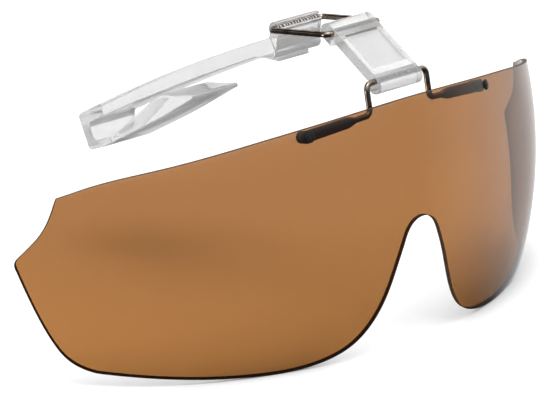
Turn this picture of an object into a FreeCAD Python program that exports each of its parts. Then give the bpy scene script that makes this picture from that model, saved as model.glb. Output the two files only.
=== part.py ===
import FreeCAD, Part
import math
import os

import Sketcher

# Clip-on flip-up shield lens for the brim of a cap.  Millimetres, +Z up, -Y forward (the way the
# lens faces), X along the three hinge axes.  The origin is the middle of the brim slot's closed end.
#
#   brim_clip    moulded strap with a closed end, a spring tongue and a hinge barrel at the far end
#   front_bail   closed wire loop, one bar in the strap's barrel and one in the link's upper barrel
#   link_arm     moulded link with a snap barrel at each end
#   lens_bail    wire with a bar in the link's lower barrel and two flattened, pierced blades
#   lens_shield  one-piece tinted lens, hung from the blades by two rivets over two spacers

doc = FreeCAD.newDocument("clip_on_flip_lenses")
sizes = doc.addObject("Spreadsheet::Sheet", "sizes")

DIMENSIONS = {
    # brim clip, measured in its own frame: Y along the strap, Z square to it
    "strap_slope": 26.0,
    "strap_width": 13.5,
    "strap_crown": 1.05,
    "strap_thick_back": 2.4,
    "strap_thick_mid": 3.0,
    "strap_thick_front": 2.95,
    "wall_outer_y": 2.45,
    "wall_thick": 2.45,
    "slot_top_z": 2.45,
    "slot_floor_z": -2.0,
    "tongue_thick": 1.45,
    "tongue_length": 32.5,
    "hump_y": -24.0,
    "hump_z": 2.35,
    "foot_width": 9.0,
    # hinges
    "hinge_one_y": -61.5,
    "hinge_one_z": 6.25,
    "strap_barrel_width": 12.8,
    "strap_barrel_radius": 1.45,
    "wire_radius": 0.6,
    "wire_play": 0.05,
    "snap_gap": 1.0,
    "snap_reach": 4.7,
    "strap_mouth": 165.0,
    # front bail
    "bail_reach": 15.9,
    "bail_rise": 7.3,
    "bail_spacing": 15.0,
    "bail_bend": 1.1,
    # link
    "link_reach": 13.8,
    "link_slope": 33.5,
    "link_width": 12.4,
    "link_barrel_radius": 1.8,
    "link_barrel_drop": 0.75,
    "link_barrel_out": 0.35,
    "hook_reach": 3.0,
    "hook_depth": 2.5,
    "hook_lip": 1.3,
    "plate_top": 1.0,
    "plate_under": -1.25,
    "window_width": 9.5,
    "window_length": 9.3,
    "window_start": 2.55,
    "window_depth": 0.6,
    "lower_mouth": -52.0,
    "upper_mouth": -128.0,
    # lens, measured in its own frame: vertex of the front surface at the origin
    "lens_tilt": 6.2,
    "lens_thick": 1.0,
    "front_radius": 96.2,
    "side_radius": 64.4,
    "drop_radius": 92.5,
    "side_from": 26.0,
    "lens_top_angle": 23.64,
    "lens_top_trim": 0.55,
    "lens_drop_y": -3.5,
    "lens_drop_z": -2.9,
    # lens bail
    "leg_spacing": 17.3,
    "leg_bend": 1.3,
    "leg_lean": 1.2,
    "leg_drop": 6.0,
    "blade_width": 2.4,
    "blade_thick": 0.5,
    "blade_flat": 10.5,
    "blade_neck": 2.6,
    # rivets and spacers
    "rivet_azimuth": 16.55,
    "rivet_elevation": 20.8,
    "rivet_head_radius": 1.1,
    "rivet_head_height": 0.35,
    "rivet_head_rim": 0.1,
    "rivet_head_lift": 0.02,
    "rivet_shank_radius": 0.7,
    "rivet_tail_radius": 1.25,
    "rivet_tail_height": 1.3,
    "rivet_tail_rim": 0.5,
    "rivet_play": 0.05,
    "spacer_radius": 1.3,
    "spacer_thick": 0.9,
}

for row, (name, value) in enumerate(DIMENSIONS.items(), start=1):
    sizes.set("A%d" % row, name)
    sizes.set("B%d" % row, str(value))
    sizes.setAlias("B%d" % row, name)
doc.recompute()


def size(name):
    """The value of one cell of the sheet."""
    return float(sizes.get(name))


def bind(obj, prop, formula):
    """Ties a property to the sheet; names of cells in the formula are written in braces."""
    for name in DIMENSIONS:
        formula = formula.replace("{%s}" % name, "<<sizes>>.%s" % name)
    obj.setExpression(prop, formula)


V = FreeCAD.Vector


def polar(length, degrees):
    """A vector in the YZ plane, at an angle from +Y towards +Z."""
    turn = math.radians(degrees)
    return V(0, length * math.cos(turn), length * math.sin(turn))


# ---------------------------------------------------------------------------- places of the hinges

slope = FreeCAD.Rotation(V(1, 0, 0), -size("strap_slope"))
hinge_one = slope.multVec(V(0, size("hinge_one_y"), size("hinge_one_z")))
hinge_two = hinge_one - polar(size("bail_reach"), -size("bail_rise"))
hinge_three = hinge_two - polar(size("link_reach"), size("link_slope"))
lens_top = hinge_three + V(0, size("lens_drop_y"), size("lens_drop_z"))


# ------------------------------------------------------------------------------- sketching helpers

def new_body(name):
    body = doc.addObject("PartDesign::Body", name)
    body.Label = name
    return body


def new_sketch(body, name, role="YZ_Plane"):
    """A sketch on one of the body's own origin planes."""
    sketch = body.newObject("Sketcher::SketchObject", name)
    plane = next(f for f in body.Origin.OriginFeatures if f.Role == role)
    sketch.AttachmentSupport = [(plane, "")]
    sketch.MapMode = "FlatFace"
    return sketch


def flat(y, z):
    return V(y, z, 0)


def draw(sketch, steps):
    """Draws a closed outline.  A step is ("line", end), ("arc", middle, end) or ("curve", points);
    the first step is ("start", point)."""
    start = here = steps[0][1]
    for step in steps[1:]:
        kind = step[0]
        end = step[-1][-1] if kind == "curve" else step[-1]
        if kind == "line":
            sketch.addGeometry(Part.LineSegment(flat(*here), flat(*end)), False)
        elif kind == "arc":
            sketch.addGeometry(Part.Arc(flat(*here), flat(*step[1]), flat(*end)), False)
        else:
            curve = Part.BSplineCurve()
            curve.interpolate([flat(*here)] + [flat(*p) for p in step[1]])
            sketch.addGeometry(curve, False)
        here = end
    if math.dist(here, start) > 1e-6:
        sketch.addGeometry(Part.LineSegment(flat(*here), flat(*start)), False)


def add_circle(sketch, centre, radius_formula):
    """A circle with its radius tied to the sheet."""
    index = sketch.addGeometry(Part.Circle(flat(*centre), V(0, 0, 1), 1.0), False)
    origin = -1
    if math.hypot(*centre) < 1e-9:
        sketch.addConstraint(Sketcher.Constraint("Coincident", index, 3, origin, 1))
    else:
        sketch.addConstraint(Sketcher.Constraint("DistanceX", origin, 1, index, 3, centre[0]))
        sketch.addConstraint(Sketcher.Constraint("DistanceY", origin, 1, index, 3, centre[1]))
    number = sketch.addConstraint(Sketcher.Constraint("Radius", index, 1.0))
    bind(sketch, "Constraints[%d]" % number, radius_formula)
    return index


def pad(body, sketch, name, length_formula):
    """A pad to both sides of its sketch."""
    feature = body.newObject("PartDesign::Pad", name)
    feature.Profile = sketch
    feature.Midplane = True
    bind(feature, "Length", length_formula)
    doc.recompute()
    return feature


def pocket(body, sketch, name, length_formula, both=True, reverse=False):
    """A pocket, checked to have removed something."""
    before = body.Shape.Volume
    feature = body.newObject("PartDesign::Pocket", name)
    feature.Profile = sketch
    feature.Midplane = both
    feature.Reversed = reverse
    bind(feature, "Length", length_formula)
    doc.recompute()
    if not body.Shape.Volume < before - 1e-6:
        raise RuntimeError("%s removes nothing" % name)
    return feature


def snap_bore(body, name, centre, opening):
    """The bore for a wire bar, with a flared gap towards opening (degrees from +Y) that is narrower
    than the wire."""
    bore = new_sketch(body, name + "_bore_sketch")
    add_circle(bore, centre, "{wire_radius} + {wire_play}")
    pocket(body, bore, name + "_bore", "2 * {strap_width}")
    gap = size("snap_gap") / 2
    reach = size("snap_reach")
    throat = reach / 3
    flare = 1.7 * gap
    along = polar(1.0, opening)
    across = polar(1.0, opening + 90)

    def corner(out, side):
        return (centre[0] + along.y * out + across.y * side,
                centre[1] + along.z * out + across.z * side)

    mouth = new_sketch(body, name + "_mouth_sketch")
    draw(mouth, [("start", corner(0, -gap)), ("line", corner(throat, -gap)),
                 ("line", corner(reach, -flare)), ("line", corner(reach, flare)),
                 ("line", corner(throat, gap)), ("line", corner(0, gap))])
    pocket(body, mouth, name + "_mouth", "2 * {strap_width}")


# --------------------------------------------------------------------------------------- brim clip

def build_brim_clip():
    body = new_body("brim_clip")
    back = size("wall_outer_y")
    front = size("hinge_one_y")
    top = size("slot_top_z") + size("strap_thick_back")
    middle = (back + front) / 2
    crown = top + size("strap_crown")
    wall = back - size("wall_thick")
    floor = size("slot_floor_z")
    under = floor - size("tongue_thick")
    tip = -size("tongue_length")
    hump = size("hump_y")
    hump_top = size("hump_z")

    profile = new_sketch(body, "side_profile")
    draw(profile, [
        ("start", (back - 0.9, top + 0.05)),
        # crowned top of the strap
        ("arc", (middle, crown), (front + 1.5, top + 0.05)),
        # front end of the strap, which slopes back to the underside
        ("line", (front + 1.3, 1.9)),
        ("arc", (front + 2.0, 1.0), (front + 3.2, 0.95)),
        ("line", (front + 7.5, top + 0.45 - size("strap_thick_front"))),
        # underside of the strap
        ("arc", (middle, crown - size("strap_thick_mid")), (wall - 1.0, size("slot_top_z"))),
        # closed end of the slot
        ("arc", (wall - 0.3, size("slot_top_z") - 0.25), (wall, size("slot_top_z") - 1.0)),
        ("line", (wall, floor + 1.4)),
        ("arc", (wall - 0.75, floor + 0.25), (wall - 2.2, floor)),
        # upper side of the tongue: out, over the hump and down to the lead-in
        ("curve", [(wall - 6.0, floor + 0.15), (-8.7, floor + 0.7), (-14.6, floor + 2.35),
                   (-18.2, hump_top - 1.0), (-21.3, hump_top - 0.3), (hump, hump_top),
                   (-27.0, hump_top - 0.8), (-29.8, hump_top - 1.65), (tip, 0.0)]),
        # rounded tip
        ("arc", (tip - 0.35, -0.55), (tip + 0.35, -0.95)),
        # bowed underside of the tongue, back to the end wall
        ("curve", [(-24.3, -1.85), (-16.8, -2.6), (-9.2, -3.1), (-2.4, under - 0.05)]),
        ("line", (back - 1.3, under + 0.35)),
        ("arc", (back - 0.2, under + 0.65), (back + 0.05, under + 1.5)),
        ("line", (back, top - 1.0)),
        ("arc", (back - 0.2, top - 0.3), (back - 0.9, top + 0.05)),
    ])
    pad(body, profile, "strap_and_tongue", "{strap_width}")

    # rectangular foot under the hinge, narrower than the strap
    foot = new_sketch(body, "foot_profile")
    draw(foot, [("start", (front + 7.0, 2.6)), ("line", (front + 7.3, 1.75)),
                ("line", (front + 3.7, 0.0)), ("line", (front + 3.1, 1.6))])
    pad(body, foot, "foot", "{foot_width}")

    # hinge barrel standing on the strap's front end
    neck = new_sketch(body, "hinge_neck")
    radius = size("strap_barrel_radius")
    axis_z = size("hinge_one_z")
    draw(neck, [("start", (front - radius, axis_z)), ("line", (front + 1.2, 2.2)),
                ("line", (front + 4.5, 3.4)), ("line", (front + 3.3, top + 0.1)),
                ("arc", (front + 1.9, top + 0.5), (front + radius, axis_z))])
    pad(body, neck, "hinge_neck_pad", "{strap_barrel_width}")
    barrel = new_sketch(body, "hinge_barrel")
    add_circle(barrel, (front, axis_z), "{strap_barrel_radius}")
    pad(body, barrel, "hinge_barrel_pad", "{strap_barrel_width}")
    snap_bore(body, "strap_hinge", (front, axis_z), size("strap_mouth"))
    body.Placement = FreeCAD.Placement(V(0, 0, 0), slope)
    return body


# ----------------------------------------------------------------------------------------- bails

def bent_wire(points, bend):
    """A wire path of straight runs joined by arcs of one radius."""
    edges = []
    here = points[0]
    for corner, after in zip(points[1:-1], points[2:]):
        to_corner = (corner - here).normalize()
        away = (after - corner).normalize()
        turn = to_corner.getAngle(away)
        cut = bend * math.tan(turn / 2)
        start = corner - to_corner * cut
        end = corner + away * cut
        inward = (away - to_corner).normalize()
        centre = corner + inward * (bend / math.cos(turn / 2))
        middle = centre - inward * bend
        edges.append(Part.LineSegment(here, start).toShape())
        edges.append(Part.Arc(start, middle, end).toShape())
        here = end
    edges.append(Part.LineSegment(here, points[-1]).toShape())
    return Part.Wire(edges)


def round_sweep(path, radius):
    """A round bar along a wire path."""
    start = path.Vertexes[0].Point
    tangent = path.Edges[0].tangentAt(path.Edges[0].FirstParameter)
    ring = Part.Wire(Part.makeCircle(radius, start, tangent))
    shape = path.makePipeShell([ring], True, False, 2)
    expected = math.pi * radius ** 2 * path.Length
    if abs(shape.Volume - expected) > 0.02 * expected:
        raise RuntimeError("swept wire has the wrong volume")
    return shape


def add_shape(name, shape, place):
    feature = doc.addObject("Part::Feature", name)
    feature.Label = name
    feature.Shape = shape
    feature.Placement = place
    return feature


def build_front_bail():
    """A rectangle of wire closed on itself, drawn about its rear bar."""
    half = size("bail_spacing") / 2
    reach = size("bail_reach")
    corners = [V(half, 0, 0), V(half, -reach, 0), V(-half, -reach, 0), V(-half, 0, 0), V(half, 0, 0)]
    bend = size("bail_bend")
    middle = V(half, -reach / 2, 0)
    path = bent_wire([middle] + corners[1:] + [middle], bend)
    shape = round_sweep(path, size("wire_radius"))
    place = FreeCAD.Placement(hinge_one, FreeCAD.Rotation(V(1, 0, 0), -size("bail_rise")))
    return add_shape("front_bail", shape, place)


# ------------------------------------------------------------------------------------------- link

def build_link_arm():
    """Drawn about its lower hinge, with Y towards the upper hinge and Z out of its outer face.  The
    barrels hang under the plate, so that its outer face runs flush over both wires."""
    body = new_body("link_arm")
    reach = size("link_reach")
    top = size("plate_top")
    under = size("plate_under")
    out = size("link_barrel_out")
    drop = size("link_barrel_drop")

    plate = new_sketch(body, "plate_profile")
    draw(plate, [("start", (-out, top)), ("line", (reach + out, top)),
                 ("line", (reach + out, under)), ("line", (-out, under))])
    pad(body, plate, "plate", "{link_width}")
    lower = new_sketch(body, "lower_barrel")
    add_circle(lower, (-out, -drop), "{link_barrel_radius}")
    pad(body, lower, "lower_barrel_pad", "{link_width}")
    # the upper barrel is a flattened hook that reaches back past its wire
    radius = (top + size("hook_depth")) / 2
    middle = top - radius
    nose = reach + size("hook_reach") - radius
    lip = reach - size("hook_lip")
    upper = new_sketch(body, "upper_hook")
    draw(upper, [("start", (lip, top)), ("line", (nose, top)),
                 ("arc", (nose + radius, middle), (nose, middle - radius)),
                 ("line", (lip, middle - radius))])
    pad(body, upper, "upper_hook_pad", "{link_width}")

    # shallow window in the outer face
    window = new_sketch(body, "window_outline", "XY_Plane")
    half = size("window_width") / 2
    start = size("window_start")
    end = start + size("window_length")
    window.AttachmentOffset = FreeCAD.Placement(V(0, 0, top), FreeCAD.Rotation())
    draw(window, [("start", (-half, start)), ("line", (half, start)), ("line", (half, end)),
                  ("line", (-half, end))])
    pocket(body, window, "window", "{window_depth}", both=False)

    snap_bore(body, "lens_hinge", (0.0, 0.0), size("lower_mouth"))
    snap_bore(body, "link_hinge", (reach, 0.0), size("upper_mouth"))
    body.Placement = FreeCAD.Placement(hinge_three, FreeCAD.Rotation(V(1, 0, 0), size("link_slope")))
    return body


# ------------------------------------------------------------------------------------------- lens

lens_turn = FreeCAD.Rotation(V(1, 0, 0), size("lens_tilt"))
top_angle = math.radians(size("lens_top_angle"))
lens_origin = lens_top - lens_turn.multVec(V(0, size("drop_radius") * (1 - math.cos(top_angle)),
                                             size("drop_radius") * math.sin(top_angle)))
lens_place = FreeCAD.Placement(lens_origin, lens_turn)


def lens_normal(azimuth, elevation):
    """Outward normal of the lens in its own frame."""
    a = math.radians(azimuth)
    e = math.radians(elevation)
    return V(math.cos(e) * math.sin(a), -math.cos(e) * math.cos(a), math.sin(e))


def lens_point(azimuth, elevation):
    """A point of the front surface within the central sector, in the lens's own frame."""
    drop = size("drop_radius")
    e = math.radians(elevation)
    a = math.radians(azimuth)
    radius = size("front_radius") - drop * (1 - math.cos(e))
    return V(radius * math.sin(a), size("front_radius") - radius * math.cos(a), drop * math.sin(e))


def rivet_place(side):
    """Frame on the front surface at a rivet, with Z out of the lens."""
    azimuth = side * size("rivet_azimuth")
    elevation = size("rivet_elevation")
    normal = lens_turn.multVec(lens_normal(azimuth, elevation))
    point = lens_place.multVec(lens_point(azimuth, elevation))
    return FreeCAD.Placement(point, FreeCAD.Rotation(V(0, 0, 1), normal))


def solid_feature(kind, name, **properties):
    """A Part feature of the document; text values with braces are formulas on the sheet."""
    feature = doc.addObject(kind, name)
    for prop, value in properties.items():
        if isinstance(value, str) and "{" in value:
            bind(feature, prop, value)
        else:
            setattr(feature, prop, value)
    return feature


def build_lens_shield():
    """Three tangent sectors turned from one curved section, trimmed by a front and a side outline."""
    drop = size("drop_radius")
    thick = size("lens_thick")
    low = math.radians(-13)
    high = math.radians(28)
    centre = V(0, drop, 0)

    def on_arc(radius, angle):
        return centre + V(0, -radius * math.cos(angle), radius * math.sin(angle))

    def arc(radius, a, b):
        return Part.Arc(on_arc(radius, a), on_arc(radius, (a + b) / 2), on_arc(radius, b)).toShape()

    outer = arc(drop, low, high)
    inner = arc(drop - thick, high, low)
    ends = [Part.LineSegment(on_arc(drop, high), on_arc(drop - thick, high)).toShape(),
            Part.LineSegment(on_arc(drop - thick, low), on_arc(drop, low)).toShape()]
    section = doc.addObject("Part::Feature", "lens_section")
    section.Shape = Part.Face(Part.Wire([outer, ends[0], inner, ends[1]]))

    front_axis = V(0, size("front_radius"), 0)
    sectors = [solid_feature("Part::Revolution", "lens_front", Source=section, Axis=V(0, 0, 1),
                             Base=front_axis, Angle="2 * {side_from}", Symmetric=True, Solid=True)]
    turn = math.radians(size("side_from"))
    shift = size("front_radius") - size("side_radius")
    for side, name in ((-1, "lens_left"), (1, "lens_right")):
        edge = doc.addObject("Part::Feature", name + "_section")
        turned = section.Shape.copy()
        turned.rotate(front_axis, V(0, 0, 1), side * size("side_from"))
        edge.Shape = turned
        axis = front_axis + V(side * shift * math.sin(turn), -shift * math.cos(turn), 0)
        sectors.append(solid_feature("Part::Revolution", name, Source=edge, Base=axis,
                                     Axis=V(0, 0, side), Angle=44.0, Solid=True))
    blank = solid_feature("Part::MultiFuse", "lens_blank", Shapes=sectors, Refine=True)

    # front outline, right half from the top centre to the side, then back under the lobe to the nose
    top = [(21.4, 35.15), (41.4, 31.65), (53.6, 28.15), (63.6, 23.75), (67.4, 20.95)]
    bottom = [(60.2, -13.95), (50.0, -14.4), (36.3, -14.7), (26.4, -14.15), (21.0, -13.0),
              (16.2, -10.8), (11.5, -5.8), (8.7, -0.2), (7.0, 4.4), (5.3, 8.6), (3.3, 12.0)]
    peak = (0.0, drop * math.sin(top_angle) - size("lens_top_trim"))
    nose = (0.0, 13.3)

    def front(points):
        return [V(x, 0, z) for x, z in points]

    def mirror(points):
        return [(-x, z) for x, z in reversed(points)]

    upper = Part.BSplineCurve()
    upper.interpolate(front(mirror(top) + [peak] + top))
    lower = Part.BSplineCurve()
    lower.interpolate(front(bottom + [nose] + mirror(bottom)))
    outside = 80.0
    side_rail = [top[-1], (outside, 12.0), (outside, -13.0), bottom[0]]
    edges = [upper.toShape(), lower.toShape()]
    for rail in (side_rail, [(-x, z) for x, z in side_rail]):
        line = front(rail)
        edges += [Part.LineSegment(a, b).toShape() for a, b in zip(line, line[1:])]
    outline = doc.addObject("Part::Feature", "front_outline")
    outline.Shape = Part.Face(Part.Wire(Part.__sortEdges__(edges)))
    front_cutter = solid_feature("Part::Extrusion", "front_cutter", Base=outline, DirMode="Custom",
                                 Dir=V(0, 1, 0), LengthFwd=70.0, LengthRev=5.0, Solid=True)

    # side outline: the notched temple end with its pointed tip, then the rounded lower corner
    temple = [(36.3, 21.6), (36.55, 17.8), (37.5, 13.7), (39.3, 10.4), (40.9, 8.0)]
    tip = [(41.35, 6.6), (40.9, 5.4)]
    lower_end = [(38.9, 1.7), (36.3, -3.3), (33.3, -8.8), (31.5, -11.3), (28.8, -13.2), (25.0, -14.2)]

    def beside(points):
        return [V(0, y, z) for y, z in points]

    notch = Part.BSplineCurve()
    notch.interpolate(beside(temple))
    round_tip = Part.Arc(*beside([temple[-1], tip[0], tip[1]]))
    rise = Part.BSplineCurve()
    rise.interpolate(beside([tip[-1]] + lower_end))
    box = beside([temple[0], (36.0, 60.0), (-10.0, 60.0), (-10.0, -40.0), (25.0, -40.0), lower_end[-1]])
    edges = [notch.toShape(), round_tip.toShape(), rise.toShape()]
    edges += [Part.LineSegment(a, b).toShape() for a, b in zip(box, box[1:])]
    profile = doc.addObject("Part::Feature", "side_outline")
    profile.Shape = Part.Face(Part.Wire(Part.__sortEdges__(edges)))
    side_cutter = solid_feature("Part::Extrusion", "side_cutter", Base=profile, DirMode="Custom",
                                Dir=V(1, 0, 0), LengthFwd=90.0, LengthRev=90.0, Solid=True)

    trimmed = solid_feature("Part::MultiCommon", "lens_trimmed",
                            Shapes=[blank, front_cutter])
    ended = solid_feature("Part::MultiCommon", "lens_ended", Shapes=[trimmed, side_cutter])
    holes = []
    for side, name in ((-1, "left_hole"), (1, "right_hole")):
        hole = solid_feature("Part::Cylinder", name, Radius="{rivet_shank_radius} + {rivet_play}",
                             Height=6.0)
        normal = lens_normal(side * size("rivet_azimuth"), size("rivet_elevation"))
        point = lens_point(side * size("rivet_azimuth"), size("rivet_elevation"))
        hole.Placement = FreeCAD.Placement(point - normal * 3, FreeCAD.Rotation(V(0, 0, 1), normal))
        holes.append(hole)
    drilled = solid_feature("Part::Cut", "lens_first_hole", Base=ended, Tool=holes[0])
    lens = solid_feature("Part::Cut", "lens_shield", Base=drilled, Tool=holes[1])
    lens.Label = "lens_shield"
    lens.Placement = lens_place
    return lens


# -------------------------------------------------------------------------------------- lens bail

def rectangle(centre, along, normal, width, thick):
    """A rectangular wire square to along, with its short side on normal."""
    across = along.cross(normal).normalize() * (width / 2)
    up = normal * (thick / 2)
    corners = [centre + across + up, centre - across + up, centre - across - up, centre + across - up]
    return Part.makePolygon(corners + corners[:1])


def build_lens_bail():
    """A bar and two legs of round wire, whose ends are flattened into blades and pierced."""
    half = size("leg_spacing") / 2
    radius = size("wire_radius")
    width = size("blade_width")
    thick = size("blade_thick")
    place = FreeCAD.Placement(hinge_three, FreeCAD.Rotation())
    pieces = []
    holes = []
    path = []
    for side in (-1, 1):
        seat = place.inverse().multiply(rivet_place(side))
        normal = seat.Rotation.multVec(V(0, 0, 1))
        depth = size("lens_thick") + size("spacer_thick") + thick / 2
        pad_centre = seat.Base - normal * (depth + 0.02)
        corner = V(side * half, -size("leg_lean"), -size("leg_drop"))
        toward = corner - pad_centre
        along = (toward - normal * toward.dot(normal)).normalize()
        # pad under the rivet, square to it
        end = Part.makeCylinder(width / 2, thick, pad_centre - normal * thick / 2, normal)
        first = pad_centre + along * 1.6
        square = rectangle(pad_centre, along, normal, width, thick)
        second = rectangle(first, along, normal, width, thick)
        pieces += [end, Part.makeLoft([square, second], True, True)]
        # long flat of the blade, easing away from the lens, then the neck where it turns round
        run = (corner - first).normalize()
        flat_end = first + run * (size("blade_flat") - 1.6)
        lean = (normal - run * normal.dot(run)).normalize()
        third = rectangle(flat_end, run, lean, width, thick)
        pieces.append(Part.makeLoft([second, third], True, True))
        neck_end = flat_end + run * size("blade_neck")
        ring = Part.Wire(Part.makeCircle(radius, neck_end, run))
        pieces.append(Part.makeLoft([third, ring], True, True))
        arm = [neck_end, corner, V(side * half, 0, 0)]
        path = arm if side < 0 else path + list(reversed(arm))
        holes.append(Part.makeCylinder(size("rivet_shank_radius") + size("rivet_play"), 8,
                                       seat.Base - normal * 6, normal))
    wire = round_sweep(bent_wire(path, size("leg_bend")), radius)
    shape = wire.multiFuse(pieces).cut(holes)
    return add_shape("lens_bail", shape, place)


# ---------------------------------------------------------------------------- rivets and spacers

def build_rivet(name, side):
    """Domed head on the front of the lens, shank, and a set tail behind the blade."""
    body = new_body(name)
    head = size("rivet_head_radius")
    rise = size("rivet_head_height")
    shank = size("rivet_shank_radius")
    grip = size("lens_thick") + size("spacer_thick") + size("blade_thick") + 0.08
    tail = size("rivet_tail_radius")
    end = grip + size("rivet_tail_height")
    lift = size("rivet_head_lift")
    rim = size("rivet_head_rim")
    tail_rim = size("rivet_tail_rim")
    dome = (head ** 2 + (rise - rim) ** 2) / (2 * (rise - rim))
    half_turn = math.asin(head / dome) / 2
    on_dome = (dome * math.sin(half_turn), rise - dome + dome * math.cos(half_turn))
    profile = new_sketch(body, name + "_profile")
    draw(profile, [
        ("start", (0, -end)),
        ("line", (tail - tail_rim, -end)),
        ("arc", (tail - tail_rim * (1 - math.sqrt(0.5)), -end + tail_rim * (1 - math.sqrt(0.5))),
         (tail, -end + tail_rim)),
        ("line", (tail, -grip)),
        ("line", (shank, -grip)),
        ("line", (shank, lift)),
        ("line", (head, lift)),
        ("line", (head, rim)),
        ("arc", on_dome, (0, rise)),
    ])
    turned = body.newObject("PartDesign::Revolution", name + "_turned")
    turned.Profile = profile
    turned.ReferenceAxis = (profile, ["V_Axis"])
    turned.Angle = 360.0
    body.Placement = rivet_place(side)
    return body


def build_spacer(name, side):
    """Round washer between the lens and the blade."""
    body = new_body(name)
    ring = new_sketch(body, name + "_outline", "XY_Plane")
    add_circle(ring, (0, 0), "{spacer_radius}")
    add_circle(ring, (0, 0), "{rivet_shank_radius} + {rivet_play}")
    feature = body.newObject("PartDesign::Pad", name + "_pad")
    feature.Profile = ring
    bind(feature, "Length", "{spacer_thick}")
    seat = rivet_place(side)
    drop = V(0, 0, -(size("lens_thick") + size("spacer_thick") + 0.015))
    body.Placement = FreeCAD.Placement(seat.multVec(drop), seat.Rotation)
    return body


# --------------------------------------------------------------------------------------- assembly

parts = [build_brim_clip(), build_front_bail(), build_link_arm(), build_lens_shield(),
         build_lens_bail()]
for side, word in ((-1, "left"), (1, "right")):
    parts.append(build_rivet("rivet_" + word, side))
    parts.append(build_spacer("spacer_" + word, side))
doc.recompute()

for obj in doc.Objects:
    if "Invalid" in obj.State or "Error" in obj.State:
        raise RuntimeError("%s did not compute: %s" % (obj.Name, obj.State))
for part in parts:
    shape = part.Shape
    if shape.isNull() or not shape.isValid() or len(shape.Solids) != 1:
        raise RuntimeError("%s is not one valid solid" % part.Label)

os.makedirs("parts", exist_ok=True)
for part in parts:
    part.Shape.exportStep("parts/%s.step" % part.Label)
    box = part.Shape.BoundBox
    print("%-12s %8.1f mm3  x %.1f..%.1f  y %.1f..%.1f  z %.1f..%.1f" % (
        part.Label, part.Shape.Volume, box.XMin, box.XMax, box.YMin, box.YMax, box.ZMin, box.ZMax))
for name, point in (("strap hinge", hinge_one), ("link hinge", hinge_two), ("lens hinge", hinge_three)):
    print("%s at y %.3f z %.3f" % (name, point.y, point.z))
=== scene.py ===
import math

import bmesh
import bpy
import numpy as np
from mathutils import Matrix, Vector


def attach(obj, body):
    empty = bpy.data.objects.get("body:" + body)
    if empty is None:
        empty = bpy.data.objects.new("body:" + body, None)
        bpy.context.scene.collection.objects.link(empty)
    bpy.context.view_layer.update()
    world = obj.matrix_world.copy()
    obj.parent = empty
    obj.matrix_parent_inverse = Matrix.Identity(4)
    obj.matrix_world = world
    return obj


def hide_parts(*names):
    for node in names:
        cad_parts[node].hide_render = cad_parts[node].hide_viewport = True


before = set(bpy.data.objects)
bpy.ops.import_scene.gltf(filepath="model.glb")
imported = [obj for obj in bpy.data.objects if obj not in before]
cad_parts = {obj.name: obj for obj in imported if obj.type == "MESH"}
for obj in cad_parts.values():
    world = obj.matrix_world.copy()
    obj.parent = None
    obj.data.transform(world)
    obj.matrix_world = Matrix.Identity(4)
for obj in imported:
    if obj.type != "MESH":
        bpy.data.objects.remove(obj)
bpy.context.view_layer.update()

# Clip-on flip-up shield lens.  Lengths are in millimetres in the row frame, and become metres when a
# mesh is made.
MM = 0.001

# wire radius, and the chain of hinges from the clip's strap to the lens: half widths across X, lengths
# between hinge lines, and slopes in degrees
WIRE = 0.6
STRAP_SLOPE = 26.0
STRAP_HALF = 6.75
HINGE_ONE = (-61.5, 6.25)
BAIL_REACH = 15.9
BAIL_RISE = 7.3
BAIL_HALF = 7.5
BAIL_BEND = 1.1
LINK_REACH = 13.8
LINK_SLOPE = 33.5
LINK_HALF = 6.2
LEG_HALF = 8.65
LEG_BEND = 1.3

# the lens: two radii round the face and one from top to bottom, and where its top edge hangs
LENS_TILT = 6.2
LENS_THICK = 1.0
FRONT_RADIUS = 96.2
SIDE_RADIUS = 64.4
DROP_RADIUS = 92.5
SIDE_FROM = 26.0
TOP_ANGLE = 23.64
TOP_TRIM = 0.55
LENS_DROP = (-3.5, -2.9)
TIP_HEIGHT = 6.6

# the paddles, rivets and spacers
BLADE_WIDTH = 2.4
BLADE_THICK = 0.5
RIVET_AZIMUTH = 16.55
RIVET_ELEVATION = 20.8
SPACER_THICK = 0.9
RIVET_HOLE = 0.75
TURNED_SIDES = 48

# the bores of the snap barrels, how far a cutter reaches, and how close to a bore its own faces lie
BORE = 0.65
CUTTER_HALF = 8.0
NEAR = 0.03

# the wires' meshes and the knurling of their bars
WIRE_SIDES = 42
RING_STEP = 0.11
KNURL_HALF = 6.1
KNURL_RELIEF = 0.085
KNURL_PITCH = 0.85
KNURL_STARTS = 7
KNURL_TWIST = 11.0

# the floor's height, and the long lens: its place, heading and focal length
FLOOR = -27.46
CAMERA = (-631.23, -654.31, 269.63)
LOOK = (0.6876, 0.6612, -0.3000)
FOCAL_LENGTH = 292.4188


def about_x(degrees):
    """A turn about the X axis."""
    return Matrix.Rotation(math.radians(degrees), 4, "X")


def polar(length, degrees):
    """A step in the YZ plane, its angle measured from +Y towards +Z."""
    turn = math.radians(degrees)
    return Vector((0, length * math.cos(turn), length * math.sin(turn)))


clip_frame = about_x(-STRAP_SLOPE)
hinge_one = clip_frame @ Vector((0, *HINGE_ONE))
hinge_two = hinge_one - polar(BAIL_REACH, -BAIL_RISE)
hinge_three = hinge_two - polar(LINK_REACH, LINK_SLOPE)
bail_frame = Matrix.Translation(hinge_one) @ about_x(-BAIL_RISE)
link_frame = Matrix.Translation(hinge_three) @ about_x(LINK_SLOPE)
lens_top = hinge_three + Vector((0, *LENS_DROP))
lens_origin = lens_top - about_x(LENS_TILT) @ Vector(
    (0, DROP_RADIUS * (1 - math.cos(math.radians(TOP_ANGLE))),
     DROP_RADIUS * math.sin(math.radians(TOP_ANGLE))))
lens_frame = Matrix.Translation(lens_origin) @ about_x(LENS_TILT)


# ------------------------------------------------------------------------------------ plane curves

def all_round(sides):
    """So many angles, evenly round a circle."""
    return np.linspace(0, 2 * math.pi, sides, endpoint=False)


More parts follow.
